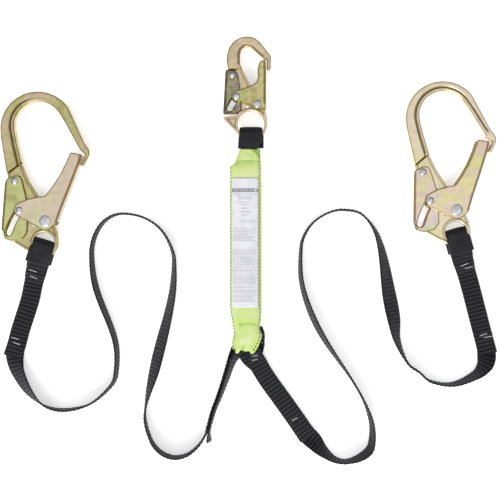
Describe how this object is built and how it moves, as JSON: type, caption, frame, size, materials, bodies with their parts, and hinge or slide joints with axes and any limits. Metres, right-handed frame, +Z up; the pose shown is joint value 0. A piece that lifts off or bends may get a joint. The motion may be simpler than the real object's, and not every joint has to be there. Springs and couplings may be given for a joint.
{
  "type": "shock absorbing lanyard",
  "caption": "Fall arrest lanyard: a fabric-covered energy absorber with a locking snap hook, and black webbing legs that end in large rebar hooks.",
  "frame": {"origin": "on the floor, below the middle of the box of the hooks and the absorber", "axes": "+X from the left rebar hook to the right one, +Y from the absorber to the snap hook, +Z up from the floor"},
  "size_m": [0.6692, 0.5738, 0.0258],
  "materials": {
    "plated_body": "satin yellow zinc plating",
    "plated_plate": "satin yellow zinc plating on pressed plate",
    "zinc_steel": "bright zinc",
    "black_webbing": "woven polyester webbing",
    "sleeve_fabric": "smooth wear sleeve",
    "cover_fabric": "high-visibility coated fabric",
    "label_sheet": "clear-coated printed label",
    "tear_webbing": "stitched tear webbing"
  },
  "bodies": {
    "lanyard": {"absorber_cover": "cover_fabric", "absorber_label": "label_sheet", "tear_webbing": "tear_webbing", "backup_strap": "black_webbing", "absorber_top_strap": "black_webbing", "absorber_bottom_strap": "black_webbing", "snap_loop_sleeve": "sleeve_fabric", "left_hook_sleeve": "sleeve_fabric", "right_hook_sleeve": "sleeve_fabric", "left_leg_webbing": "black_webbing", "right_leg_webbing": "black_webbing"},
    "snap_hook": {"snap_hook_body": "plated_body", "snap_hook_gate_rivet": "zinc_steel", "snap_hook_lever_rivet": "zinc_steel", "snap_hook_gate_spring": "zinc_steel", "snap_hook_lever_spring": "zinc_steel"},
    "snap_gate": {"snap_hook_gate": "plated_plate", "snap_hook_tail_rivet": "zinc_steel"},
    "snap_lever": {"snap_hook_lock_lever": "plated_plate"},
    "left_hook": {"left_hook_body": "plated_body", "left_hook_gate_rivet": "zinc_steel", "left_hook_lever_rivet": "zinc_steel", "left_hook_gate_spring": "zinc_steel", "left_hook_lever_spring": "zinc_steel"},
    "left_gate": {"left_hook_gate": "plated_plate", "left_hook_tail_rivet": "zinc_steel"},
    "left_lever": {"left_hook_lock_lever": "plated_plate"},
    "right_hook": {"right_hook_body": "plated_body", "right_hook_gate_rivet": "zinc_steel", "right_hook_lever_rivet": "zinc_steel", "right_hook_gate_spring": "zinc_steel", "right_hook_lever_spring": "zinc_steel"},
    "right_gate": {"right_hook_gate": "plated_plate", "right_hook_tail_rivet": "zinc_steel"},
    "right_lever": {"right_hook_lock_lever": "plated_plate"}
  },
  "joints": [
    {"name": "snap_hook_swivel", "type": "hinge", "parent": "lanyard", "child": "snap_hook", "pos_m": [0.00352, 0.09146, 0.0105], "axis": [0, 0, 1], "range_deg": [-45, 45]},
    {"name": "snap_gate_open", "type": "hinge", "parent": "snap_hook", "child": "snap_gate", "pos_m": [0.01212, 0.11806, 0.0105], "axis": [0, 0, 1], "range_deg": [0, 26], "stiffness_Nm_per_rad": 0.3, "springref_deg": -28.65, "deforming": ["snap_hook_gate_spring"]},
    {"name": "snap_lever_swing", "type": "hinge", "parent": "snap_hook", "child": "snap_lever", "pos_m": [-0.02158, 0.15726, 0.0105], "axis": [0, 0, 1], "range_deg": [0, 8], "deforming": ["snap_hook_lever_spring", "snap_hook_gate_spring"]},
    {"name": "left_hook_swivel", "type": "hinge", "parent": "lanyard", "child": "left_hook", "pos_m": [-0.27528, -0.06784, 0.0105], "axis": [0, 0, 1], "range_deg": [-25, 20]},
    {"name": "left_gate_open", "type": "hinge", "parent": "left_hook", "child": "left_gate", "pos_m": [-0.27268, -0.03904, 0.0105], "axis": [0, 0, 1], "range_deg": [0, 38], "stiffness_Nm_per_rad": 0.4, "springref_deg": -28.65, "deforming": ["left_hook_gate_spring"]},
    {"name": "left_lever_swing", "type": "hinge", "parent": "left_hook", "child": "left_lever", "pos_m": [-0.31448, 0.01496, 0.0105], "axis": [0, 0, 1], "range_deg": [0, 10], "deforming": ["left_hook_lever_spring", "left_hook_gate_spring"]},
    {"name": "right_hook_swivel", "type": "hinge", "parent": "lanyard", "child": "right_hook", "pos_m": [0.27932, -0.05314, 0.0105], "axis": [0, 0, 1], "range_deg": [-30, 40]},
    {"name": "right_gate_open", "type": "hinge", "parent": "right_hook", "child": "right_gate", "pos_m": [0.28011, -0.02423, 0.0105], "axis": [0, 0, 1], "range_deg": [0, 38], "stiffness_Nm_per_rad": 0.4, "springref_deg": -28.65, "deforming": ["right_hook_gate_spring"]},
    {"name": "right_lever_swing", "type": "hinge", "parent": "right_hook", "child": "right_lever", "pos_m": [0.235, 0.02704, 0.0105], "axis": [0, 0, 1], "range_deg": [0, 10], "deforming": ["right_hook_lever_spring", "right_hook_gate_spring"]}
  ],
  "couplings": [
    {"joint": "snap_lever_swing", "follows": "snap_gate_open", "ratio": 0.3076},
    {"joint": "left_lever_swing", "follows": "left_gate_open", "ratio": 0.263},
    {"joint": "right_lever_swing", "follows": "right_gate_open", "ratio": 0.263}
  ]
}
